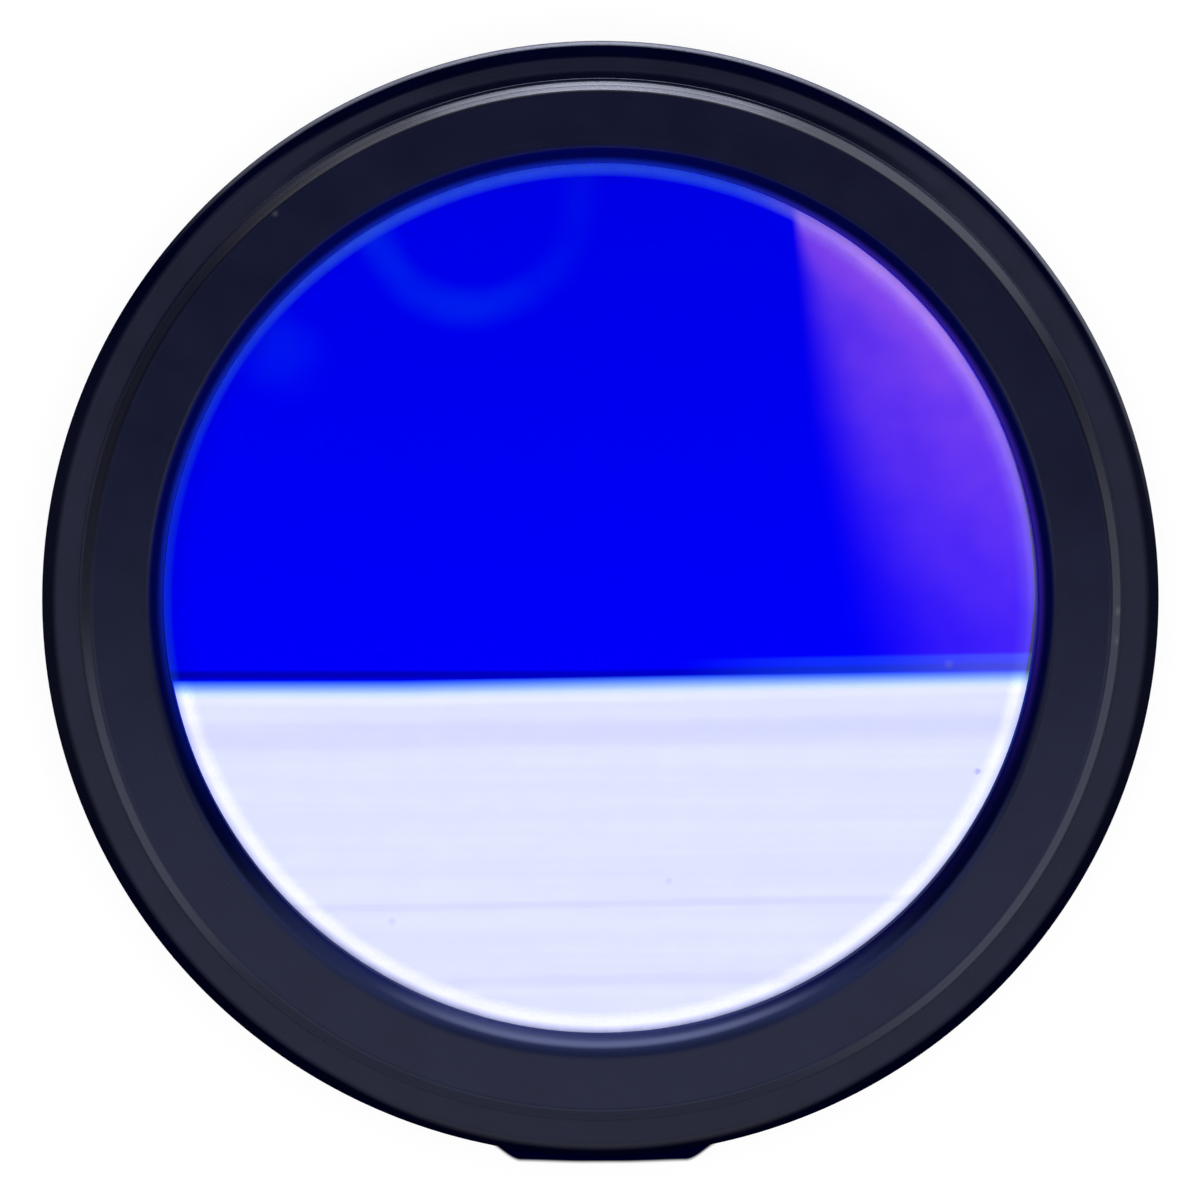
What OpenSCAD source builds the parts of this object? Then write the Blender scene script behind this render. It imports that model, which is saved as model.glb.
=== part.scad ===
// Optical bandpass filter: a coated glass plate held in a turned ring cell.
// The optical axis is Z. The filter lies on the back of its cell, front face up.

/* [Cell] */
// Outside diameter of the cell, the size that a holder is bored for
cell_d = 25; // [16:0.5:50]
// Thickness of the cell, from back face to front face
cell_t = 5; // [4.5:0.1:8]
// Width of the low rim round the raised front face
rim_w = 0.85; // [0.5:0.05:1.1]
// How far the rim lies below the front face
rim_drop = 0.45; // [0.3:0.05:0.6]
// Chamfer on the edge of the raised front face, seen as the bright line of the ring
face_edge = 0.28; // [0.14:0.02:0.34]
// Chamfer on the front edge of the rim
rim_edge = 0.3; // [0.15:0.05:0.4]
// Chamfer on the back edge of the cell
back_edge = 0.25; // [0.1:0.05:0.4]

/* [Front lip] */
// Thickness of the lip that the glass is pressed against
lip_t = 0.8; // [0.6:0.05:1.1]
// Bevel round the front of the clear opening
lip_edge = 0.3; // [0.15:0.05:0.45]
// Width of the seat behind the lip, from the opening to the edge of the glass
seat_w = 1.22; // [0.9:0.02:1.6]

/* [Glass] */
// Thickness of the coated plate
glass_t = 2; // [1:0.1:2.5]
// Ground bevel on both edges of the plate
glass_bevel = 0.2; // [0.1:0.05:0.3]
// Gap between the edge of the plate and its bore, all round
glass_gap = 0.1; // [0.04:0.02:0.2]

/* [Slip ring] */
// Thickness of the thin ring that keeps the screwed ring off the coating
slip_t = 0.2; // [0.1:0.05:0.3]

/* [Retaining ring] */
// How far the retaining ring is sunk below the back face
back_recess = 0.45; // [0.2:0.05:0.8]
// How much wider the retaining ring opens than the front lip, on each side
set_back = 0.2; // [0.1:0.05:0.4]
// Chamfer on the outer edges of the retaining ring
ring_edge = 0.15; // [0.1:0.05:0.25]
// Bevel round the back of the retaining ring's opening
ring_bevel = 0.35; // [0.2:0.05:0.5]
// Width of the spanner slots
slot_w = 1; // [0.6:0.1:2]
// Depth of the spanner slots
slot_deep = 0.6; // [0.3:0.05:0.7]
// Number of spanner slots
slots = 2; // [2:1:4]

/* [Thread] */
// Wall of the cell outside the thread
wall_t = 1; // [0.8:0.05:2]
// Step from the thread in to the bore of the glass
thread_step = 0.4; // [0.25:0.05:0.6]
// Running gap between the two threads, all round
thread_gap = 0.03; // [0.02:0.01:0.08]
// Spare thread above the seated ring, which lets it be screwed tight
thread_spare = 0.2; // [0.1:0.05:0.4]
// Width of the run-out groove at the inner end of the thread
groove_w = 0.35; // [0.2:0.05:0.5]
// Depth of the run-out groove below the thread
groove_deep = 0.1; // [0.05:0.01:0.2]
// Chamfer that leads into the thread at the back
lead_in = 0.2; // [0.1:0.05:0.3]

/* [Hidden] */
$fn = 144;

ANODISED = [0.11, 0.12, 0.17];
BLUE_GLASS = [0.01, 0.01, 0.95];
BLACK_PLASTIC = [0.05, 0.05, 0.06];
FULL_TURN = 360;
CUT = 0.5; // how far a cutter runs past what it cuts

// Radii, from the outside in
cell_r = cell_d / 2;
face_r = cell_r - rim_w;
thread_r = cell_r - wall_t;
groove_r = thread_r + groove_deep;
ring_r = thread_r - thread_gap;
bore_r = thread_r - thread_step;
glass_r = bore_r - glass_gap;
opening_r = glass_r - seat_w;
ring_opening_r = opening_r + set_back;

// Heights above the back face, from the front down
rim_z = cell_t - rim_drop;
seat_z = cell_t - lip_t;
glass_z = seat_z - glass_t;
slip_z = glass_z - slip_t;
thread_end_z = slip_z + thread_spare;
groove_end_z = thread_end_z + groove_w;
slot_floor_z = back_recess + slot_deep;

// A turned piece, from half its section in radius and height
module turned(section) {
    rotate_extrude()
        polygon(section);
}

// The housing: back face, outside, rim, raised front face, lip, bore, run-out groove, thread bore
module filter_cell() {
    color(ANODISED)
        turned([
            [thread_r + lead_in, 0],
            [cell_r - back_edge, 0],
            [cell_r, back_edge],
            [cell_r, rim_z - rim_edge],
            [cell_r - rim_edge, rim_z],
            [face_r, rim_z],
            [face_r, cell_t - face_edge],
            [face_r - face_edge, cell_t],
            [opening_r + lip_edge, cell_t],
            [opening_r, cell_t - lip_edge],
            [opening_r, seat_z],
            [bore_r, seat_z],
            [bore_r, groove_end_z],
            [groove_r, groove_end_z],
            [groove_r, thread_end_z],
            [thread_r, thread_end_z],
            [thread_r, lead_in]
        ]);
}

// The coated plate that passes the band, with a ground bevel round each face
module filter_glass() {
    color(BLUE_GLASS)
        turned([
            [0, glass_z],
            [glass_r - glass_bevel, glass_z],
            [glass_r, glass_z + glass_bevel],
            [glass_r, seat_z - glass_bevel],
            [glass_r - glass_bevel, seat_z],
            [0, seat_z]
        ]);
}

// The thin plastic ring between the plate and the retaining ring
module slip_ring() {
    color(BLACK_PLASTIC)
        turned([
            [ring_opening_r, slip_z],
            [glass_r, slip_z],
            [glass_r, glass_z],
            [ring_opening_r, glass_z]
        ]);
}

// The retaining ring before its slots are cut
module ring_blank() {
    turned([
        [ring_opening_r + ring_bevel, back_recess],
        [ring_r - ring_edge, back_recess],
        [ring_r, back_recess + ring_edge],
        [ring_r, slip_z - ring_edge],
        [ring_r - ring_edge, slip_z],
        [ring_opening_r, slip_z],
        [ring_opening_r, back_recess + ring_bevel]
    ]);
}

// Cutter for one spanner slot, across the ring from its opening to its edge
module slot_cutter() {
    translate([ring_opening_r - CUT, -slot_w / 2, back_recess - CUT])
        cube([ring_r - ring_opening_r + 2 * CUT, slot_w, slot_floor_z - back_recess + CUT]);
}

// The threaded ring that presses the plate against the lip
module retaining_ring() {
    color(ANODISED)
        difference() {
            ring_blank();
            for (i = [0 : slots - 1])
                rotate([0, 0, i * FULL_TURN / slots])
                    slot_cutter();
        }
}

filter_cell();
filter_glass();
slip_ring();
retaining_ring();
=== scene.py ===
# A ring-mounted optical filter, lying front face up on a pale table and seen from above.
# Lengths are in millimetres until they reach Blender, which works in metres.
import math
from collections import namedtuple
from functools import reduce

import bpy
from mathutils import Matrix, Vector


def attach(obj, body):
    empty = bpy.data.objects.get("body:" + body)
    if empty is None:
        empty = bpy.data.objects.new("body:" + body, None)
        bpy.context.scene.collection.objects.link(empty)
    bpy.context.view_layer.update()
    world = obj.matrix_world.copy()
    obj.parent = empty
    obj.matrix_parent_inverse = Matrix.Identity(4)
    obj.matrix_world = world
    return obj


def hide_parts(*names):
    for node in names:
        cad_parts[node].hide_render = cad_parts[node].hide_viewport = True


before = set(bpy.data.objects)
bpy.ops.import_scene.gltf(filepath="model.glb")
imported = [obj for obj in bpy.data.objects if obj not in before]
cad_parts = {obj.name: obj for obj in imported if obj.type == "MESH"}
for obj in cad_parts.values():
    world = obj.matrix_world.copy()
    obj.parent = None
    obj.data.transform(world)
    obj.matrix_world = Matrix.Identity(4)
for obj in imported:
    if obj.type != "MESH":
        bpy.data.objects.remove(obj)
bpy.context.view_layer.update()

MM = 0.001
FULL_TURN = math.tau
CELL_STEPS = 288
RING_STEPS = 240
THREAD_STEPS = 240
SMOOTH_TO = 35
FLAT_AREA = 0.004
# Corners nearer than WELD become one. Places nearer than CLOSE count as the same.
WELD = 0.00004 * MM
CLOSE = 0.0005

# The cell, from the outside in and from the front down
CELL_R = 12.5
FACE_R = 11.65
OPENING_R = 9.78
BORE_R = 11.1
GROOVE_R = 11.6
FRONT_Z = 5.0
RIM_Z = 4.55
SEAT_Z = 4.2
GROOVE_END_Z = 2.55
THREAD_END_Z = 2.2
FACE_EDGE = 0.28
RIM_EDGE = 0.3
BACK_EDGE = 0.25
LIP_EDGE = 0.3
LEAD_IN_R = 11.7
LEAD_IN_Z = 0.2

# How far the turned edges are rounded: most of them, and the most worn one
CORNER = 0.03
SOFT_CORNER = 0.1

# The plate, the slip ring and the retaining ring
GLASS_R = 11.0
GLASS_Z = 2.2
GLASS_BEVEL = 0.2
SLIP_Z = 2.0
SLIP_CORNER = 0.04
RING_R = 11.47
RING_OPENING_R = 9.98
RING_BACK_Z = 0.45
RING_EDGE = 0.15
RING_BEVEL = 0.35
SLOT_W = 1.0
SLOT_DEEP = 0.6
SLOT_CORNER = 0.08

# The fine thread: crest and root stand on each side of the plain bore of the solids
THREAD_R = 11.5
THREAD_PITCH = 0.35
THREAD_HALF = 0.095
THREAD_FLAT = 0.05
THREAD_GAP = 0.03


# Modelling

def start_section(name, corner):
    """Begins a turned section as one corner, at a radius and height, in edit mode"""
    bpy.ops.object.select_all(action="DESELECT")
    bpy.ops.mesh.primitive_plane_add(size=MM)
    piece = bpy.context.object
    piece.name = name
    bpy.ops.object.mode_set(mode="EDIT")
    bpy.ops.mesh.merge(type="CENTER")
    bpy.ops.transform.translate(value=(corner[0] * MM, 0, corner[1] * MM))
    return piece


def draw_to(corner, there):
    """Extrudes the section from one corner to the next"""
    step = ((there[0] - corner[0]) * MM, 0, (there[1] - corner[1]) * MM)
    bpy.ops.mesh.extrude_vertices_move(TRANSFORM_OT_translate={"value": step})


def draw_section(name, corners, close=True):
    """Draws half a section in radius and height, as an open or closed line"""
    piece = start_section(name, corners[0])
    path = corners + corners[:1] if close else corners
    for corner, there in zip(path, path[1:]):
        draw_to(corner, there)
    bpy.ops.mesh.select_all(action="SELECT")
    bpy.ops.mesh.remove_doubles(threshold=WELD)
    return piece


def break_corners(offset=CORNER, segments=3):
    """Rounds every selected corner of a section, as a tool leaves a turned edge"""
    bpy.ops.mesh.bevel(offset=offset * MM, segments=segments, affect="VERTICES")


def turn(steps):
    """Spins the section round the optical axis and closes the seam"""
    bpy.ops.mesh.select_all(action="SELECT")
    bpy.ops.mesh.spin(steps=steps, angle=FULL_TURN, center=(0, 0, 0), axis=(0, 0, 1))
    bpy.ops.mesh.select_all(action="SELECT")
    bpy.ops.mesh.remove_doubles(threshold=WELD)
    bpy.ops.object.mode_set(mode="OBJECT")


def edit(piece):
    """Goes into edit mode on one piece"""
    bpy.context.view_layer.objects.active = piece
    if piece.mode != "EDIT":
        bpy.ops.object.mode_set(mode="EDIT")


def pick_edges(piece, test, only_open=False):
    """Selects the edges whose two ends pass the test, or only the open ones among them"""
    edit(piece)
    bpy.ops.mesh.select_mode(type="EDGE")
    bpy.ops.mesh.select_all(action="SELECT")
    if only_open:
        bpy.ops.mesh.select_all(action="DESELECT")
        bpy.ops.mesh.select_non_manifold(use_wire=False, use_multi_face=False, use_non_contiguous=False)
    bpy.ops.object.mode_set(mode="OBJECT")
    corners = piece.data.vertices
    chosen = []
    for edge in piece.data.edges:
        first, second = (corners[i].co / MM for i in edge.vertices)
        if edge.select and test(first, second):
            chosen.append(edge.index)
    edit(piece)
    bpy.ops.mesh.select_all(action="DESELECT")
    bpy.ops.object.mode_set(mode="OBJECT")
    for index in chosen:
        piece.data.edges[index].select = True
    edit(piece)


def pick_corners(piece, test):
    """Selects the corners of a section whose radius and height pass the test"""
    edit(piece)
    bpy.ops.mesh.select_mode(type="VERT")
    bpy.ops.mesh.select_all(action="DESELECT")
    bpy.ops.object.mode_set(mode="OBJECT")
    for corner in piece.data.vertices:
        corner.select = test((corner.co.x / MM, corner.co.z / MM))
    edit(piece)


def pick_faces(piece, test):
    """Selects the faces whose middle and normal pass the test"""
    edit(piece)
    bpy.ops.mesh.select_mode(type="FACE")
    bpy.ops.mesh.select_all(action="DESELECT")
    bpy.ops.object.mode_set(mode="OBJECT")
    for face in piece.data.polygons:
        face.select = test(face.center / MM, face.normal)
    edit(piece)


def turn_faces_out(piece):
    """Points every face of a closed piece outwards"""
    edit(piece)
    bpy.ops.mesh.select_mode(type="VERT")
    bpy.ops.mesh.select_all(action="SELECT")
    bpy.ops.mesh.normals_make_consistent(inside=False)
    bpy.ops.object.mode_set(mode="OBJECT")


def resize(piece, factor):
    """Scales a piece for good, about the origin"""
    piece.scale = (factor, factor, factor)
    bpy.ops.object.transform_apply(location=False, rotation=False, scale=True)


def finish_piece(piece, node):
    """Turns the faces out, shades the piece and puts it in the place of its solid"""
    turn_faces_out(piece)
    bpy.ops.object.transform_apply(location=True, rotation=True, scale=True)
    bpy.ops.object.shade_smooth_by_angle(angle=math.radians(SMOOTH_TO))
    # The modifier compares areas with a fixed threshold, so it works on the piece in millimetres
    resize(piece, 1 / MM)
    flatten = piece.modifiers.new("flat faces stay flat", "WEIGHTED_NORMAL")
    flatten.keep_sharp = True
    flatten.weight = 100
    flatten.thresh = FLAT_AREA
    bpy.ops.object.modifier_apply(modifier=flatten.name)
    resize(piece, MM)
    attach(piece, "root")
    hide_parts(node)


def thread_surface(name, middle_r, bottom, top):
    """A strip of fine right-hand thread, cut square at both ends"""
    flank = (THREAD_PITCH - 2 * THREAD_FLAT) / 2
    low, high = middle_r - THREAD_HALF, middle_r + THREAD_HALF
    turns = math.ceil((top - bottom) / THREAD_PITCH) + 2
    height = bottom - THREAD_PITCH * 3 / 2
    corners = [(low, height)]
    for _ in range(turns):
        for radius, rise in ((low, THREAD_FLAT), (high, flank), (high, THREAD_FLAT), (low, flank)):
            height += rise
            corners.append((radius, height))
    strip = draw_section(name, corners, close=False)
    bpy.ops.object.mode_set(mode="OBJECT")
    screw = strip.modifiers.new("turns", "SCREW")
    screw.axis = "Z"
    screw.angle = FULL_TURN
    screw.screw_offset = THREAD_PITCH * MM
    screw.steps = screw.render_steps = THREAD_STEPS
    bpy.ops.object.modifier_apply(modifier=screw.name)
    bpy.ops.object.mode_set(mode="EDIT")
    bpy.ops.mesh.select_all(action="SELECT")
    bpy.ops.mesh.remove_doubles(threshold=WELD)
    for height, cut_below in ((bottom, True), (top, False)):
        bpy.ops.mesh.select_all(action="SELECT")
        bpy.ops.mesh.bisect(plane_co=(0, 0, height * MM), plane_no=(0, 0, 1), threshold=WELD / 10,
                            clear_inner=cut_below, clear_outer=not cut_below)
    bpy.ops.object.mode_set(mode="OBJECT")
    return strip


def join_thread(piece, strip, gaps):
    """Joins the thread to the turned piece and bridges the gap at each end of it"""
    bpy.ops.object.mode_set(mode="OBJECT")
    bpy.ops.object.select_all(action="DESELECT")
    strip.select_set(True)
    piece.select_set(True)
    bpy.context.view_layer.objects.active = piece
    bpy.ops.object.join()
    for gap in gaps:
        def at_the_gap(first, second):
            return all(min(abs(point.z - z) for z in gap) < CLOSE for point in (first, second))
        pick_edges(piece, at_the_gap, only_open=True)
        bpy.ops.mesh.bridge_edge_loops()


def make_cell():
    """The housing: back face, outside, rim, raised front face, lip, bore, groove and thread"""
    cell = draw_section("cell", [
        (LEAD_IN_R, 0),
        (CELL_R - BACK_EDGE, 0),
        (CELL_R, BACK_EDGE),
        (CELL_R, RIM_Z - RIM_EDGE),
        (CELL_R - RIM_EDGE, RIM_Z),
        (FACE_R, RIM_Z),
        (FACE_R, FRONT_Z - FACE_EDGE),
        (FACE_R - FACE_EDGE, FRONT_Z),
        (OPENING_R + LIP_EDGE, FRONT_Z),
        (OPENING_R, FRONT_Z - LIP_EDGE),
        (OPENING_R, SEAT_Z),
        (BORE_R, SEAT_Z),
        (BORE_R, GROOVE_END_Z),
        (GROOVE_R, GROOVE_END_Z),
        (GROOVE_R, THREAD_END_Z),
    ], close=False)
    # The edges that hands reach are worn rounder than the rest
    worn = [
        ((CELL_R - RIM_EDGE, RIM_Z), 0.08),
        ((FACE_R, FRONT_Z - FACE_EDGE), SOFT_CORNER),
        ((FACE_R - FACE_EDGE, FRONT_Z), 0.06),
        ((OPENING_R + LIP_EDGE, FRONT_Z), 0.08),
    ]
    for corner, offset in worn:
        pick_corners(cell, lambda spot: math.dist(spot, corner) < CLOSE)
        break_corners(offset, segments=6)

    def is_crisp(spot):
        return min(math.dist(spot, corner) for corner, offset in worn) > SOFT_CORNER + CLOSE

    pick_corners(cell, is_crisp)
    break_corners()
    turn(CELL_STEPS)
    strip = thread_surface("thread_in_cell", THREAD_R, LEAD_IN_Z, THREAD_END_Z - CORNER)
    join_thread(cell, strip, [(LEAD_IN_Z, 0), (THREAD_END_Z - CORNER, THREAD_END_Z)])
    finish_piece(cell, "filter_cell")
    return cell


def make_plate():
    """The coated plate: a disc with a ground bevel round each face"""
    bpy.ops.object.select_all(action="DESELECT")
    bpy.ops.mesh.primitive_cylinder_add(vertices=CELL_STEPS, radius=GLASS_R * MM,
                                        depth=(SEAT_Z - GLASS_Z) * MM,
                                        location=(0, 0, (SEAT_Z + GLASS_Z) / 2 * MM))
    plate = bpy.context.object
    plate.name = "plate"
    bpy.ops.object.transform_apply(location=True, rotation=True, scale=True)
    pick_edges(plate, lambda first, second: abs(first.z - second.z) < CLOSE)
    bpy.ops.mesh.bevel(offset=GLASS_BEVEL * MM, offset_type="OFFSET", segments=1)
    pick_faces(plate, lambda middle, normal: abs(normal.z) > 0.99)
    bpy.ops.mesh.inset(thickness=(GLASS_R - GLASS_BEVEL - OPENING_R) * MM)
    finish_piece(plate, "filter_glass")
    return plate


def make_slip_washer():
    """The thin plastic ring behind the plate"""
    washer = draw_section("slip_washer", [
        (RING_OPENING_R, SLIP_Z),
        (GLASS_R, SLIP_Z),
        (GLASS_R, GLASS_Z),
        (RING_OPENING_R, GLASS_Z),
    ])
    break_corners(SLIP_CORNER, segments=2)
    turn(RING_STEPS)
    finish_piece(washer, "slip_ring")
    return washer


def make_screw_ring():
    """The retaining ring: opening with a bevel, chamfered edges, thread and spanner slots"""
    ring = draw_section("screw_ring", [
        (RING_R - RING_EDGE, SLIP_Z),
        (RING_OPENING_R, SLIP_Z),
        (RING_OPENING_R, RING_BACK_Z + RING_BEVEL),
        (RING_OPENING_R + RING_BEVEL, RING_BACK_Z),
        (RING_R - RING_EDGE, RING_BACK_Z),
    ], close=False)
    bpy.ops.mesh.select_all(action="SELECT")
    break_corners()
    turn(RING_STEPS)
    low, high = RING_BACK_Z + RING_EDGE, SLIP_Z - RING_EDGE
    strip = thread_surface("thread_on_ring", THREAD_R - THREAD_GAP, low, high)
    join_thread(ring, strip, [(low, RING_BACK_Z), (high, SLIP_Z)])
    turn_faces_out(ring)
    cut_slots(ring)
    finish_piece(ring, "retaining_ring")
    return ring


def cut_slots(ring):
    """Cuts the two spanner slots from the back of the ring"""
    bpy.ops.object.select_all(action="DESELECT")
    bpy.ops.mesh.primitive_cube_add(size=1, location=(0, 0, RING_BACK_Z * MM),
                                    scale=(4 * RING_R * MM, SLOT_W * MM, 2 * SLOT_DEEP * MM))
    bar = bpy.context.object
    bpy.ops.object.transform_apply(location=True, rotation=True, scale=True)
    pick_edges(bar, lambda first, second: min(first.z, second.z) > RING_BACK_Z
               and abs(first.y - second.y) < CLOSE)
    bpy.ops.mesh.bevel(offset=SLOT_CORNER * MM, segments=3)
    bpy.ops.object.mode_set(mode="OBJECT")
    slots = ring.modifiers.new("slots", "BOOLEAN")
    slots.object = bar
    slots.operation = "DIFFERENCE"
    slots.solver = "EXACT"
    bpy.context.view_layer.objects.active = ring
    bpy.ops.object.select_all(action="DESELECT")
    ring.select_set(True)
    bpy.ops.object.modifier_apply(modifier=slots.name)
    bpy.data.objects.remove(bar)


# Finishes

WHITE = (1.0, 1.0, 1.0, 1)


class Signal:
    """A value in a node tree. Arithmetic on it adds Math nodes."""

    def __init__(self, bench, socket):
        self.bench = bench
        self.socket = socket

    def math(self, operation, *terms):
        return self.bench.node("ShaderNodeMath", {"operation": operation}, dict(enumerate(terms)))

    def __add__(self, other):
        return self.math("ADD", self, other)

    def __sub__(self, other):
        return self.math("SUBTRACT", self, other)

    def __rsub__(self, other):
        return self.math("SUBTRACT", other, self)

    def __mul__(self, other):
        return self.math("MULTIPLY", self, other)

    def __truediv__(self, other):
        return self.math("DIVIDE", self, other)

    def __pow__(self, other):
        return self.math("POWER", self, other)

    __radd__ = __add__
    __rmul__ = __mul__

    def most(self, other):
        """The larger of two values"""
        return self.math("MAXIMUM", self, other)

    def size(self):
        """The value without its sign"""
        return self.math("ABSOLUTE", self)

    def out(self, name):
        """Another output of the same node"""
        return Signal(self.bench, self.socket.node.outputs[name])

    def ramp(self, low, high, first=0.0, last=1.0, smooth=True):
        """Goes from first to last while the value goes from low to high, and stays there"""
        kind = "SMOOTHSTEP" if smooth else "LINEAR"
        return self.bench.node("ShaderNodeMapRange", {"interpolation_type": kind}, {
            "Value": self,
            "From Min": low,
            "From Max": high,
            "To Min": first,
            "To Max": last,
        })


def strongest(marks):
    """The largest of several values at each place"""
    return reduce(Signal.most, marks)


Place = namedtuple("Place", "spot x y z radius")


class Bench:
    """Builds one node tree"""

    def __init__(self, tree, end="ShaderNodeOutputMaterial"):
        self.tree = tree
        self.end = end
        tree.nodes.clear()

    def node(self, kind, settings=None, inputs=None, output=0):
        """Adds a node with its settings and inputs, and gives one of its outputs"""
        made = self.tree.nodes.new(kind)
        for key, value in (settings or {}).items():
            setattr(made, key, value)
        for key, value in (inputs or {}).items():
            if isinstance(value, Signal):
                self.tree.links.new(value.socket, made.inputs[key])
            else:
                made.inputs[key].default_value = value
        return Signal(self, made.outputs[output]) if made.outputs else made

    def finish(self, shader):
        """Joins the last shader to the output"""
        self.node(self.end, None, {0: shader})

    def split(self, spot):
        """A vector, its three parts and its distance from the optical axis"""
        flat = self.node("ShaderNodeVectorMath", {"operation": "MULTIPLY"}, {0: spot, 1: (1, 1, 0)})
        radius = self.node("ShaderNodeVectorMath", {"operation": "LENGTH"}, {0: flat}, "Value")
        parts = self.node("ShaderNodeSeparateXYZ", None, {0: spot})
        return Place(spot, parts, parts.out("Y"), parts.out("Z"), radius)

    def place(self):
        """Object coordinates in millimetres"""
        spot = self.node("ShaderNodeTexCoord", output="Object")
        spot = self.node("ShaderNodeVectorMath", {"operation": "SCALE"}, {0: spot, "Scale": 1 / MM})
        return self.split(spot)

    def distance(self, at, point):
        """How far a place is from a point"""
        ends = {0: at.spot, 1: point}
        return self.node("ShaderNodeVectorMath", {"operation": "DISTANCE"}, ends, "Value")

    def noise(self, spot, scale, detail=2.0, roughness=0.5):
        """Noise in space, with its scale in cycles per millimetre"""
        return self.node("ShaderNodeTexNoise", None, {
            "Vector": spot,
            "Scale": scale,
            "Detail": detail,
            "Roughness": roughness,
        })

    def noise_along(self, value, scale, detail=3.0, roughness=0.6):
        """Noise that changes with one value only, such as the marks of a lathe"""
        return self.node("ShaderNodeTexNoise", {"noise_dimensions": "1D"}, {
            "W": value,
            "Scale": scale,
            "Detail": detail,
            "Roughness": roughness,
        })

    def tint(self, mask, first, second):
        """Goes from the first colour to the second as the mask goes from 0 to 1"""
        return self.node("ShaderNodeMix", {"data_type": "RGBA"}, {0: mask, 6: first, 7: second}, 2)

    def bump(self, height, depth, normal=None):
        """Tilts the normal by a height whose full range is the depth in millimetres"""
        inputs = {"Height": height, "Distance": depth * MM}
        if normal is not None:
            inputs["Normal"] = normal
        return self.node("ShaderNodeBump", None, inputs)

    def mirror(self, colour):
        """A mirror without any blur"""
        inputs = {"Color": colour, "Roughness": 0.0}
        return self.node("ShaderNodeBsdfGlossy", {"distribution": "GGX"}, inputs)

    def see_through(self, colour=WHITE):
        """Lets light of one colour pass straight on"""
        return self.node("ShaderNodeBsdfTransparent", None, {"Color": colour})

    def matt(self, colour):
        """Scatters light like chalk"""
        return self.node("ShaderNodeBsdfDiffuse", None, {"Color": colour})

    def glow(self, colour, strength):
        """Gives light"""
        return self.node("ShaderNodeEmission", None, {"Color": colour, "Strength": strength})

    def both(self, first, second):
        """The light of two shaders together"""
        return self.node("ShaderNodeAddShader", None, {0: first, 1: second})

    def cover(self, share, under, over):
        """Covers one shader with another by its share of the surface"""
        return self.node("ShaderNodeMixShader", None, {0: share, 1: under, 2: over})


def new_finish(name):
    """A new material and the bench for its nodes"""
    material = bpy.data.materials.new(name)
    material.use_nodes = True
    return material, Bench(material.node_tree)


# Small knocks in the black skin: place, size and how bare they are
NICKS = [
    ((11.55, -0.20, 4.86), 0.15, 1.0),
    ((11.53, -0.87, 4.86), 0.15, 0.6),
    ((-7.25, 8.66, 4.95), 0.12, 0.5),
]
BARE = (0.13, 0.135, 0.16, 1)

# Painted shade towards the top of the face's chamfer, and painted light at its foot
CHAMFER_PAINTED_SHADE = (0.0006, 0.0015, 0.0110, 1)
CHAMFER_FOOT_PAINTED_LIGHT = (0.040, 0.044, 0.070, 1)
# Painted light on the left and the right of the outer edge
EDGE_SIDE_PAINTED_LIGHT = (0.0050, 0.0055, 0.0150, 1)
# Painted light on the lip: blue from the plate, a pale highlight band low down, and blue and violet spill
# along the opening
LIP_TOP_BLUE_LIGHT = (0.0004, 0.0020, 0.100, 1)
LIP_LOW_PAINTED_LIGHT = (0.018, 0.024, 0.068, 1)
LIP_BOTTOM_HIGHLIGHT = (0.110, 0.124, 0.220, 1)
PLATE_LIGHT_SPILL = (0.008, 0.026, 0.58, 1)
PLATE_LIGHT_SPILL_RIGHT = (0.050, 0.020, 0.45, 1)


def chamfer_painted_shade_and_light(bench, at, skin):
    """Painted shade and light on the chamfer of the face: darker towards the top, with a pale foot painted
    where its rounding meets the wall
    """
    skin = bench.tint(at.y.ramp(-5.0, 4.0), skin, CHAMFER_PAINTED_SHADE)
    foot = at.y.ramp(11.4, 9.0) * (1 - at.y.ramp(2.0, 6.0) * at.x.ramp(-6.0, -9.0, 0.0, 0.85))
    return bench.tint(at.radius.ramp(11.57, 11.64) * foot, skin, CHAMFER_FOOT_PAINTED_LIGHT)


def painted_light_at_sides(bench, at, skin):
    """Painted light on the dull outer edge: lighter at the left and the right of the picture"""
    return bench.tint(at.y.size().ramp(2.0, 8.0, 1.0, 0.0), skin, EDGE_SIDE_PAINTED_LIGHT)


def painted_light_on_lip(bench, at, skin):
    """Painted light on the lip: blue from the plate at the top and along the opening, and a pale highlight
    band round the bottom, where the bevel faces the light
    """
    skin = bench.tint(at.y.ramp(-6.0, 4.0) * at.x.ramp(-2.0, 6.0, 1.0, 0.5), skin, LIP_TOP_BLUE_LIGHT)
    outer = at.radius.ramp(10.0, 10.1) * at.y.ramp(-2.5, -5.5) * at.y.ramp(-9.7, -8.8, 0.65, 1.0)
    dip = at.radius.ramp(9.79, 9.90, 1.0, 0.0) * at.x.ramp(-6.0, 4.0, 0.3, 0.75)
    inner = at.y.ramp(-5.0, -8.5) * at.x.ramp(8.0, 5.0) * at.radius.ramp(10.1, 10.0) * (1 - dip)
    skin = bench.tint(outer + inner, skin, LIP_LOW_PAINTED_LIGHT)
    bottom = at.radius.ramp(9.92, 10.02, 1.0, 0.0) * at.y.ramp(-8.3, -9.9) * (1 - dip)
    skin = bench.tint(bottom, skin, LIP_BOTTOM_HIGHLIGHT)
    spill = at.radius.ramp(OPENING_R - 0.02, OPENING_R + 0.17, 1.0, 0.0)
    blue = bench.tint(at.x.ramp(2.0, 7.0), PLATE_LIGHT_SPILL, PLATE_LIGHT_SPILL_RIGHT)
    return bench.tint(spill * at.y.ramp(-5.0, 3.0, 0.05, 1.0), skin, blue)
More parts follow.
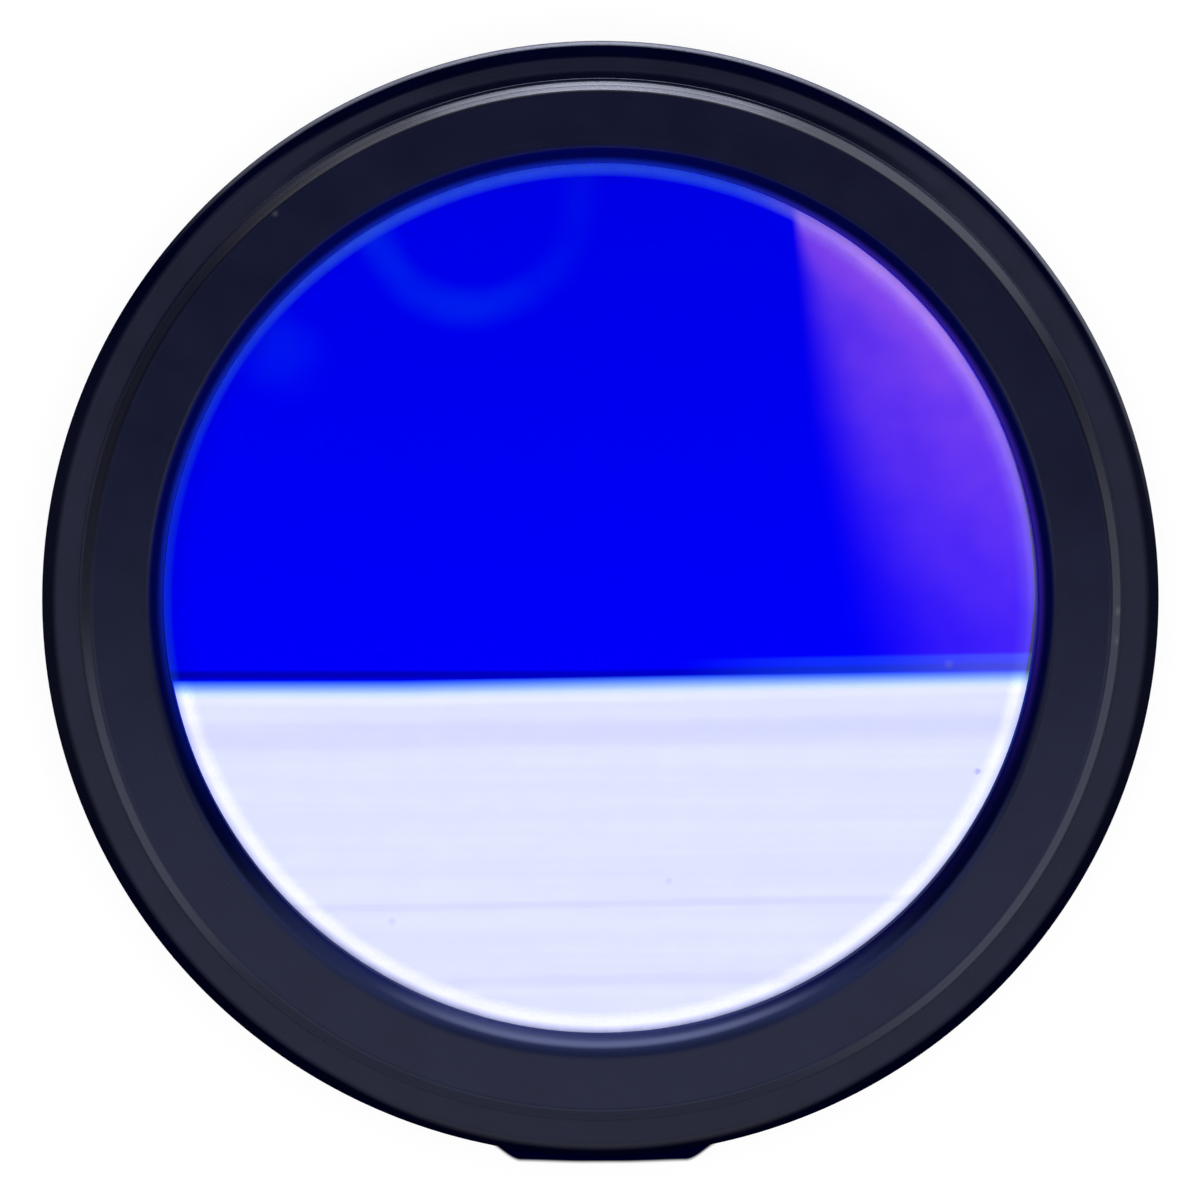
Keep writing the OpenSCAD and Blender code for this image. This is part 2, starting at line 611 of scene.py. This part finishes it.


# Black anodised skins: darkest and lightest colour, gloss, least roughness and depth of the marks, and for
# some a function that paints light and shade into the colour
SATIN = {"dark": (0.0055, 0.0068, 0.0250, 1), "light": (0.0075, 0.0092, 0.0320, 1),
         "gloss": 0.27, "rough_from": 0.07, "depth": 0.0015}
RIM = {"dark": (0.0055, 0.0070, 0.0205, 1), "light": (0.0085, 0.0100, 0.0280, 1),
       "gloss": 0.31, "rough_from": 0.26, "depth": 0.0028}
# The matt skin is near black as well as dull: partly painted shade
MATT_AND_PAINTED_SHADE = {"dark": (0.0003, 0.0007, 0.0080, 1), "light": (0.0006, 0.0012, 0.0120, 1),
        "gloss": 0.0, "rough_from": 0.4, "depth": 0.0015, "lit": painted_light_at_sides}
LIP = {"dark": (0.0004, 0.0012, 0.0150, 1), "light": (0.0008, 0.0020, 0.0200, 1),
       "gloss": 0.0, "rough_from": 0.18, "depth": 0.0015, "lit": painted_light_on_lip}
# The chamfer's skin is lighter than the face's: painted light along the chamfer
CHAMFER_PAINTED_LIGHT_AND_SHADE = {"dark": (0.0085, 0.0120, 0.0350, 1), "light": (0.0110, 0.0150, 0.0430, 1),
           "gloss": 0.31, "rough_from": 0.14, "depth": 0.0012, "lit": chamfer_painted_shade_and_light}
# A much paler skin: a painted highlight on the outermost edge, towards the top
PAINTED_SHINE = {"dark": (0.100, 0.105, 0.140, 1), "light": (0.160, 0.165, 0.210, 1),
        "gloss": 0.31, "rough_from": 0.16, "depth": 0.0022}


def anodise(bench, dark, light, gloss, rough_from, depth, nicks=(), lit=None):
    """One black anodised skin over fine turning marks"""
    at = bench.place()
    wander = bench.noise(at.spot, scale=0.35) * 0.024
    across = bench.noise_along(at.radius + wander, scale=14.0)
    along = bench.noise_along(at.z, scale=9.0)
    grain = bench.noise(at.spot, scale=26.0, roughness=0.6)
    cloud = bench.noise(at.spot, scale=0.9, detail=3.0)
    marks = across + along
    shade = cloud * 0.5 + grain * 0.3 + marks * 0.1
    skin = bench.tint(shade.ramp(0.35, 0.65, smooth=False), dark, light)
    if nicks:
        ragged = (grain - 0.5) * 0.08
        bare = strongest((bench.distance(at, point) + ragged).ramp(0.0, reach, share, 0.0)
                         for point, reach, share in nicks)
        skin = bench.tint(bare, skin, BARE)
    # lit paints light and shade into the skin's colour
    if lit is not None:
        skin = lit(bench, at, skin)
    normal = bench.bump(marks, depth)
    normal = bench.bump(grain, depth * 0.7, normal)
    return bench.node("ShaderNodeBsdfPrincipled", None, {
        "Base Color": skin,
        "Roughness": grain * 0.08 + cloud * 0.06 + across * 0.04 + rough_from,
        "Specular IOR Level": gloss,
        "Normal": normal,
    })


def black_anodise(name, skin, layers=(), nicks=()):
    """A skin, and over it other skins where their share of the surface is above 0"""
    material, bench = new_finish(name)
    at = bench.place()
    shader = anodise(bench, **skin, nicks=nicks)
    for other, share in layers:
        shader = bench.cover(share(at), shader, anodise(bench, **other, nicks=nicks))
    bench.finish(shader)
    return material


# What the coating mirrors in its middle and at its margin, and what it lets through
MIRRORED = (0.81, 0.822, 0.80, 1)
MIRRORED_MARGIN = (1.0, 1.0, 1.0, 1)
PASSED = (0.0, 0.0, 0.985, 1)

# The haze along the rim of the plate, its colour painted light: paler at the top, greyer at the bottom,
# and violet at the right as a painted reflection of the mirrored wall
HAZE = (0.016, 0.095, 0.70, 1)
HAZE_TOP = (0.060, 0.200, 1.0, 1)
HAZE_BOTTOM = (0.070, 0.090, 0.28, 1)
HAZE_VIOLET_REFLECTION = (0.20, 0.28, 0.70, 1)
HAZE_VIOLET_REFLECTION_TOP = (0.50, 0.33, 1.0, 1)

# Dust on the front of the plate: place, size and how much it covers
DUST = [
    ((8.45, -3.84, SEAT_Z), 0.10, 0.45),
    ((1.52, -6.30, SEAT_Z), 0.10, 0.15),
    ((-4.70, -7.20, SEAT_Z), 0.12, 0.15),
    ((7.80, -1.42, SEAT_Z), 0.14, 0.16),
]
DUST_GREY = (0.30, 0.30, 0.55, 1)


def mirror_coating():
    """The coating on the front of the plate, with a bright margin, a hazy rim whose colour is painted
    light, and a little dust
    """
    material, bench = new_finish("mirror coating")
    at = bench.place()
    coats = [bench.both(bench.mirror(mirrored), bench.see_through(PASSED))
             for mirrored in (MIRRORED, MIRRORED_MARGIN)]
    margin = (at.radius + at.y.ramp(-2.0, -8.0, 0.0, 0.05)).ramp(9.27, 9.52)
    shader = bench.cover(margin, *coats)
    wider = at.y.ramp(5.0, 9.5, 0.0, 0.10) + at.y.ramp(-4.0, -9.0, 0.0, 0.03)
    rim = (at.radius + wider).ramp(9.58, 9.79, smooth=False) * at.y.ramp(-3.0, -9.0, 0.52, 0.88)
    frost = bench.noise(at.spot, scale=3.0, detail=3.0).ramp(0.3, 0.7, 0.92, 1.05)
    # Painted light and reflection in the haze's colour
    haze = bench.tint(at.y.ramp(1.0, 8.5), HAZE, HAZE_TOP)
    haze = bench.tint(at.y.ramp(-2.0, -6.0), haze, HAZE_BOTTOM)
    violet = bench.tint(at.y.ramp(0.0, 7.0), HAZE_VIOLET_REFLECTION, HAZE_VIOLET_REFLECTION_TOP)
    haze = bench.tint(at.x.ramp(2.8, 5.8) * at.y.ramp(-1.5, 1.0), haze, violet)
    shader = bench.cover(rim * frost, shader, bench.matt(haze))
    motes = strongest(bench.distance(at, point).ramp(reach * 0.3, reach, share, 0.0)
                      for point, reach, share in DUST)
    bench.finish(bench.cover(motes, shader, bench.matt(DUST_GREY)))
    return material


FAINT = (0.05, 0.05, 0.06, 1)


def clear_coating():
    """The back of the plate: clear, with a faint mirror on it"""
    material, bench = new_finish("clear coating")
    bench.finish(bench.both(bench.mirror(FAINT), bench.see_through()))
    return material


GROUND_DARK = (0.10, 0.14, 0.42, 1)
GROUND_PALE = (0.24, 0.30, 0.60, 1)


def ground_glass():
    """The edge and the bevels of the plate: fine ground, blue where the light comes through"""
    material, bench = new_finish("ground glass edge")
    at = bench.place()
    grain = bench.noise(at.spot, scale=30.0, detail=3.0, roughness=0.6)
    bench.finish(bench.node("ShaderNodeBsdfPrincipled", None, {
        "Base Color": bench.tint(grain.ramp(0.3, 0.7), GROUND_DARK, GROUND_PALE),
        "Roughness": grain * 0.2 + 0.45,
        "Normal": bench.bump(grain, 0.01),
    }))
    return material


FILM_DARK = (0.014, 0.014, 0.016, 1)
FILM_PALE = (0.028, 0.028, 0.030, 1)


def black_film():
    """Thin black plastic sheet with a fine matt grain"""
    material, bench = new_finish("black plastic film")
    at = bench.place()
    grain = bench.noise(at.spot, scale=18.0, detail=3.0, roughness=0.6)
    cloud = bench.noise(at.spot, scale=1.3)
    bench.finish(bench.node("ShaderNodeBsdfPrincipled", None, {
        "Base Color": bench.tint(cloud, FILM_DARK, FILM_PALE),
        "Roughness": grain * 0.2 + 0.4,
        "Normal": bench.bump(grain, 0.005),
    }))
    return material


def share_of_lip(at):
    """Where the skin is that of the lip, which carries painted light: close to the plate, and further at
    the top and the bottom
    """
    upper = at.y.ramp(-3.0, 1.0, 0.0, 0.05) + at.y.ramp(4.0, 9.0, 0.0, 0.06)
    reach = upper + at.y.ramp(-2.5, -7.0, 0.0, 0.16)
    return (at.radius - reach).ramp(9.97, 10.12, 1.0, 0.0)


def share_of_chamfer(at):
    """Where the skin is that of the chamfer, with its painted light and shade: all but the rounding
    towards the face
    """
    return at.radius.ramp(11.29, 11.38)


def share_of_painted_shade_on_rim(at):
    """Where the rim is dull and darker, as painted shade: along the foot of the step, at the very top and
    a little at the left
    """
    foot = at.radius.ramp(11.76, 11.92, 0.9, 0.0) * at.y.ramp(8.5, 10.8)
    left = at.y.ramp(1.0, 5.0) * at.x.ramp(-4.0, -8.0, 0.0, 0.2)
    return foot.most(at.y.ramp(10.8, 11.9, 0.0, 0.4) + left)


def share_of_dull_shaded_edge(at):
    """Where the outer chamfer is dull and darker, partly painted shade: all but its inner edge"""
    wider = at.y.ramp(9.0, 11.5, 0.0, 0.10) - at.y.ramp(-10.5, -12.2, 0.0, 0.11)
    return (at.radius + wider).ramp(12.12, 12.28)


def share_of_painted_shine(at):
    """Where the outermost edge has a painted highlight: towards the top of the picture"""
    tilted = at.y + at.x.ramp(-10.0, -1.0, -6.0, 0.0)
    return at.radius.ramp(12.38, 12.45) * tilted.ramp(1.0, 8.0, 0.0, 0.8)


def dress(piece, finishes, choose=None):
    """Gives a piece its finishes, and each face the one that is chosen for its place"""
    piece.data.materials.clear()
    for finish in finishes:
        piece.data.materials.append(finish)
    if choose is not None:
        for face in piece.data.polygons:
            face.material_index = choose(face.center / MM, face.normal)


def part_of_cell(middle, normal):
    """0 for most faces, 1 the rim's chamfer, 2 the face's chamfer, 3 the rim"""
    radius = math.hypot(middle.x, middle.y)
    tilted = normal.z < 0.999
    edge_r = CELL_R - RIM_EDGE - SOFT_CORNER
    chamfer_r = FACE_R - FACE_EDGE - SOFT_CORNER
    if tilted and radius > edge_r and middle.z > RIM_Z - RIM_EDGE - CORNER:
        return 1
    if tilted and radius > chamfer_r and middle.z > FRONT_Z - FACE_EDGE - SOFT_CORNER:
        return 2
    if radius > FACE_R and middle.z > RIM_Z - CORNER and normal.z > 0.9:
        return 3
    return 0


def part_of_plate(middle, normal):
    """0 for the ground edge, 1 for the front, 2 for the back"""
    if normal.z > 0.99:
        return 1
    return 2 if normal.z < -0.99 else 0


# Table, mirrored room, lamps and camera

EYE = Vector((-2.644, 8.711, 150.0))
AIM = Vector((-0.0276, 0.0245, 4.25))
LENS = 195.75
SENSOR_W = 36
CLIP_END = 10000

TABLE_HALF = 1500
FLOOR_Z = -0.01
PAPER = (0.86, 0.86, 0.86, 1)
# Colour of the painted contact shadow
CONTACT_SHADOW_COLOUR = (0.0, 0.0, 0.010, 1)
# The table is a little over white beside the ring, and mirrors see this much less of it
BESIDE = 1.15
MIRROR_LOSS = 0.86


def stage_sheet(name, low, high, height):
    """A flat rectangle of the set, given by two corners and its height"""
    bpy.ops.object.select_all(action="DESELECT")
    bpy.ops.mesh.primitive_plane_add(size=1)
    sheet = bpy.context.object
    sheet.name = name
    middle = Vector((low[0] + high[0], low[1] + high[1], 2 * height)) * MM / 2
    sheet.data.transform(Matrix.Diagonal(((high[0] - low[0]) * MM, (high[1] - low[1]) * MM, 1, 1)))
    sheet.data.transform(Matrix.Translation(middle))
    return sheet


def show_in_mirrors(sheet, material):
    """Gives a sheet its material. It shows in the coating and the metal, and nowhere else."""
    sheet.data.materials.append(material)
    sheet.visible_camera = False
    sheet.visible_diffuse = False
    sheet.visible_shadow = False
    sheet.visible_transmission = False
    sheet.visible_volume_scatter = False


def painted_shade_under_plate(at):
    """Painted shade on the table under the plate: dimmer towards the top and the rim, with a thin painted
    shadow line
    """
    rim = at.radius.ramp(9.2, 9.9, 0.0, 0.12) * at.x.ramp(0.0, 4.0, 1.0, 0.0)
    bright = at.y.ramp(-3.0, 10.0, 1.0, 0.79, smooth=False) * (1 - rim)
    line = (at.y - at.x.ramp(0.0, 9.0, -1.957, -1.78, smooth=False)).size()
    return bright * (1 - line.ramp(0.03, 0.15, 1.0, 0.0) * at.x.ramp(-6.0, 9.0, 0.50, 0.28))


def painted_contact_shadow(at):
    """A painted shadow: the dark flat where the bottom of the ring meets the table"""
    aside = (at.x - 0.13).size()
    low = aside.ramp(0.4, 2.1, -13.27, -13.23) + aside.ramp(1.9, 2.8, 0.0, 0.46)
    shadow = ((at.y - low) / 0.05).ramp(-1.0, 1.0) * aside.ramp(2.7, 2.9, 1.0, 0.0)
    return shadow * at.y.ramp(-12.0, -11.0, 1.0, 0.0)


def make_table():
    """White table. The camera sees it white, mirrors see it dimmer, and it keeps the shadow. A contact
    shadow and the shade under the plate are painted on it.
    """
    table = stage_sheet("table", (-TABLE_HALF, -TABLE_HALF), (TABLE_HALF, TABLE_HALF), FLOOR_Z)
    material, bench = new_finish("white table")
    at = bench.place()
    paths = bench.node("ShaderNodeLightPath")
    mirrored = paths.out("Is Glossy Ray")
    seen = paths.out("Is Camera Ray").most(mirrored)
    under = at.radius.ramp(10.2, 10.6, 1.0, 0.0)
    painted_contact = painted_contact_shadow(at)
    level = painted_shade_under_plate(at) * under + (1 - under) * BESIDE
    lit = bench.glow(bench.tint(painted_contact, WHITE, CONTACT_SHADOW_COLOUR), level * (1 - mirrored * MIRROR_LOSS))
    share = (seen * (under * 0.25 + 0.75)).most(painted_contact)
    bench.finish(bench.cover(share, bench.matt(PAPER), lit))
    table.data.materials.append(material)


# The mirrored sheets hang where the plate mirrors them into the camera
MIRROR_Z = 266.6
EDGE_AT = (4.76, -20.87)
EDGE_SLOPE = 0.0177
EDGE_LEVEL_X = -8.0
TABLE_EDGE = (0.15, 0.80, 1.0, 1)
TABLE_PALE = (1.0, 1.03, 1.40, 1)

# Streaks along the mirrored table: distance from its edge, half width and loss of light
STREAKS = [
    (0.80, 0.50, -0.07),
    (3.1, 1.3, 0.07),
    (13.9, 0.35, 0.07),
    (18.7, 0.6, 0.04),
]


def below_edge(at):
    """How far a place on the mirrored sheets lies below the table's edge"""
    return (at.x.most(EDGE_LEVEL_X) - EDGE_AT[0]) * EDGE_SLOPE + EDGE_AT[1] - at.y


def make_mirrored_table():
    """The pale table that the coating mirrors: a soft far edge and fine streaks along it"""
    sheet = stage_sheet("mirrored_table", (-260, -300), (260, -16), MIRROR_Z)
    material, bench = new_finish("mirrored table")
    at = bench.place()
    depth = below_edge(at)
    stretched = bench.node("ShaderNodeMapping", None, {0: at.spot, "Scale": (0.02, 0.9, 1.0)})
    fine = bench.noise(stretched, scale=1.0, detail=4.0, roughness=0.6)
    mottle = bench.noise(at.spot, scale=0.55, detail=4.0, roughness=0.65)
    bright = fine.ramp(0.3, 0.7, 0.90, 0.955) + mottle.ramp(0.25, 0.75, -0.012, 0.014)
    for middle, width, loss in STREAKS:
        bright = bright - (depth - middle).size().ramp(width * 0.3, width, loss, 0.0)
    bright = bright * depth.ramp(45.0, 60.0, 1.0, 0.55)
    there = depth.ramp(-0.45, 0.42, smooth=False)
    beyond = at.x.ramp(9.0, 20.0, 0.0, 0.045) + at.x.ramp(20.0, 30.0, 0.0, 0.05)
    there = there.most(depth.ramp(-1.55, -1.25) * beyond)
    tone = bench.tint(depth.ramp(-0.45, 0.75, smooth=False), TABLE_EDGE, TABLE_PALE)
    bench.finish(bench.cover(there, bench.see_through(), bench.glow(tone, bright)))
    show_in_mirrors(sheet, material)


WALL_Z = MIRROR_Z - 1
WALL_AT = (16.6, 8.6)
WALL_LEAN = 0.11
WARM = (1.0, 0.27, 0.03, 1)
WARM_RIM = (1.0, 0.50, 0.25, 1)
PLATE_MIDDLE = (4.76, -15.68, WALL_Z)


def make_mirrored_wall():
    """The dim warm wall that the coating mirrors at the right, brighter upwards and outwards"""
    sheet = stage_sheet("mirrored_wall", (10, -21), (60, 30), WALL_Z)
    material, bench = new_finish("mirrored wall")
    at = bench.place()
    soft = at.y.ramp(8.0, -18.0, 0.4, 5.0, smooth=False)
    corner = WALL_AT[0] - (at.y - WALL_AT[1]) * WALL_LEAN
    inside = at.x - corner - at.y.ramp(-4.0, -18.0, 0.0, 1.2, smooth=False)
    edge = (inside / soft).ramp(-0.2, 1.6)
    across = inside.ramp(0.0, 14.0, 0.30, 1.0, smooth=False)
    level = at.y.ramp(-18.0, 6.0, 0.085, 0.36, smooth=False)
    # The wall is lighter where the rim of the plate mirrors it
    out = bench.distance(at, PLATE_MIDDLE)
    level = level * across + out.ramp(23.5, 26.6) * at.y.ramp(-6.0, 4.0, 0.0, 0.10)
    level = level * out.ramp(26.5, 26.9, 1.0, 1.3) * out.ramp(27.2, 28.0, 1.0, 0.0)
    mottle = bench.noise(at.spot, scale=0.35, detail=3.0).ramp(0.2, 0.8, 0.86, 1.14)
    clear = below_edge(at).ramp(-0.57, 0.57, 1.0, 0.0)
    warm = bench.tint(out.ramp(25.8, 26.9), WARM, WARM_RIM)
    bench.finish(bench.both(bench.see_through(), bench.glow(warm, edge * level * mottle * clear)))
    show_in_mirrors(sheet, material)


GLEAM = (0.01, 0.85, 1.0, 1)
GLEAM_LEVEL = 0.014
GLEAM_AT = (-11.7, 2.3, EYE.z)
LENS_AT = (-3.09, 9.20, EYE.z)
LENS_RING_R = 4.8


def make_mirrored_lens():
    """The front ring of the camera's lens and a faint gleam beside it, mirrored in the coating"""
    sheet = stage_sheet("mirrored_lens", (-16, -4), (8, 18), EYE.z)
    material, bench = new_finish("mirrored lens")
    at = bench.place()
    wander = bench.noise(at.spot, scale=0.25) - 0.5
    ring = (bench.distance(at, LENS_AT) + wander * 0.8 - LENS_RING_R).size()
    ring = ring.ramp(0.0, 1.2, 1.0, 0.0) * at.x.ramp(-3.0, 1.5, 1.1, 0.35)
    fade = bench.noise(at.spot, scale=0.30, detail=3.0).ramp(0.3, 0.7, 0.7, 1.25)
    gleam = (bench.distance(at, GLEAM_AT) + wander * 2.5).ramp(0.0, 2.4, 0.7, 0.0)
    level = (ring + gleam) * fade * GLEAM_LEVEL
    bench.finish(bench.both(bench.see_through(), bench.glow(GLEAM, level)))
    show_in_mirrors(sheet, material)


def facing(at, clockwise, width):
    """1 towards one direction, clockwise from the right of the picture, and 0 past the width"""
    angle = math.radians(-clockwise)
    toward = (at.x * math.cos(angle) + at.y * math.sin(angle)) / at.radius
    return toward.ramp(math.cos(math.radians(width)), math.cos(math.radians(width * 0.3)))


# Low pale cards round the filter: direction, half width and strength
CARDS = [
    (22, 50, 1.8),
    (154, 24, 1.6),
    (247, 12, 1.3),
    (304, 34, 3.2),
]
CARD_R = 40.0
CARD_TOP = 5.2
CARD_PALE = (0.75, 0.78, 1.0, 1)


def make_cards():
    """A ring of low pale cards on the table, which only the chamfers of the metal mirror"""
    bpy.ops.object.select_all(action="DESELECT")
    bpy.ops.mesh.primitive_cylinder_add(vertices=96, radius=CARD_R * MM, depth=CARD_TOP * MM,
                                        end_fill_type="NOTHING", location=(0, 0, CARD_TOP / 2 * MM))
    cards = bpy.context.object
    cards.name = "cards"
    bpy.ops.object.transform_apply(location=True, rotation=True, scale=True)
    material, bench = new_finish("pale cards")
    at = bench.place()
    level = sum(facing(at, clockwise, width) * strength for clockwise, width, strength in CARDS)
    bench.finish(bench.both(bench.see_through(), bench.glow(CARD_PALE, level)))
    show_in_mirrors(cards, material)


# Pale walls low in the room: direction, half width and strength
WALLS = [
    (20, 50, 0.6),
    (143, 34, 0.4),
    (305, 34, 0.8),
    (240, 20, 0.8),
]


def make_studio():
    """White round the set for the camera, and a dim room with a few pale walls for the rest"""
    world = bpy.data.worlds.new("studio")
    bpy.context.scene.world = world
    world.use_nodes = True
    bench = Bench(world.node_tree, "ShaderNodeOutputWorld")
    paths = bench.node("ShaderNodeLightPath")
    seen = paths.out("Is Camera Ray")
    way = bench.split(bench.node("ShaderNodeTexCoord", output="Generated"))
    room = (1 - way.z.ramp(0.0, 1.0, smooth=False)) ** 1.5 * 0.05
    low = way.z.ramp(0.05, 0.35, 1.0, 0.0)
    for clockwise, width, strength in WALLS:
        room = room + facing(way, clockwise, width) * low * strength
    # Only the metal's worn edges mirror the middle of the room, which is paler towards the viewer
    middle = way.z.ramp(0.0, 0.15) * way.z.ramp(0.93, 0.99, 1.0, 0.0) * way.y.ramp(0.5, -0.5, 0.10, 0.75)
    glare = facing(way, 275, 60) * way.z.ramp(0.0, 0.08) * way.z.ramp(0.1, 0.8, 4.0, 0.0)
    room = room + (middle + glare) * paths.out("Is Glossy Ray")
    strength = room * (1 - seen) + seen
    bench.finish(bench.node("ShaderNodeBackground", None, {"Color": WHITE, "Strength": strength}))


DAYLIGHT = (0.75, 0.80, 1.0)


def area_lamp(name, place, aim, size, power, in_mirrors, colour=(1.0, 1.0, 1.0)):
    """A rectangular soft lamp, in watts"""
    bpy.ops.object.light_add(type="AREA", location=Vector(place) * MM)
    lamp = bpy.context.object
    lamp.name = name
    lamp.data.shape = "RECTANGLE"
    lamp.data.size = size[0] * MM
    lamp.data.size_y = size[1] * MM
    lamp.data.energy = power
    lamp.data.color = colour
    lamp.rotation_euler = (Vector(aim) - Vector(place)).to_track_quat("-Z", "Y").to_euler()
    lamp.visible_camera = False
    lamp.visible_glossy = in_mirrors


def make_camera():
    """The photograph's view: almost straight down, with the top of the picture towards +Y"""
    bpy.ops.object.camera_add()
    camera = bpy.context.object
    camera.name = "camera"
    back = (EYE - AIM).normalized()
    right = Vector((0, 1, 0)).cross(back).normalized()
    up = back.cross(right)
    turned = Matrix((right, up, back)).transposed().to_4x4()
    camera.matrix_world = Matrix.Translation(EYE * MM) @ turned
    camera.data.sensor_width = SENSOR_W
    camera.data.lens = LENS
    camera.data.clip_start = MM
    camera.data.clip_end = CLIP_END * MM
    bpy.context.scene.camera = camera


# The filter

cell = make_cell()
plate = make_plate()
washer = make_slip_washer()
ring = make_screw_ring()

dress(cell, [
    black_anodise("black anodise", SATIN, [(LIP, share_of_lip)], NICKS),
    black_anodise("black anodise on the outer edge", RIM, [(MATT_AND_PAINTED_SHADE, share_of_dull_shaded_edge), (PAINTED_SHINE, share_of_painted_shine)]),
    black_anodise("black anodise on the chamfer", SATIN, [(CHAMFER_PAINTED_LIGHT_AND_SHADE, share_of_chamfer)], NICKS),
    black_anodise("black anodise on the rim", RIM, [(MATT_AND_PAINTED_SHADE, share_of_painted_shade_on_rim)]),
], part_of_cell)
dress(plate, [ground_glass(), mirror_coating(), clear_coating()], part_of_plate)
dress(washer, [black_film()])
dress(ring, [black_anodise("black anodise on the ring", SATIN)])

# The set

make_table()
make_mirrored_table()
make_mirrored_wall()
make_mirrored_lens()
make_cards()
make_studio()
area_lamp("softbox", place=(0, 0, 600), aim=(0, 0, 0), size=(700, 700), power=4.0, in_mirrors=False)
area_lamp("window", place=(0, 600, 40), aim=(0, 0, 4), size=(170, 80), power=0.68, in_mirrors=True,
          colour=DAYLIGHT)
area_lamp("window_wide", place=(14, 620, 40), aim=(0, 0, 4), size=(450, 80), power=2.1, in_mirrors=True,
          colour=DAYLIGHT)
make_camera()
bpy.context.scene.view_settings.view_transform = "Standard"
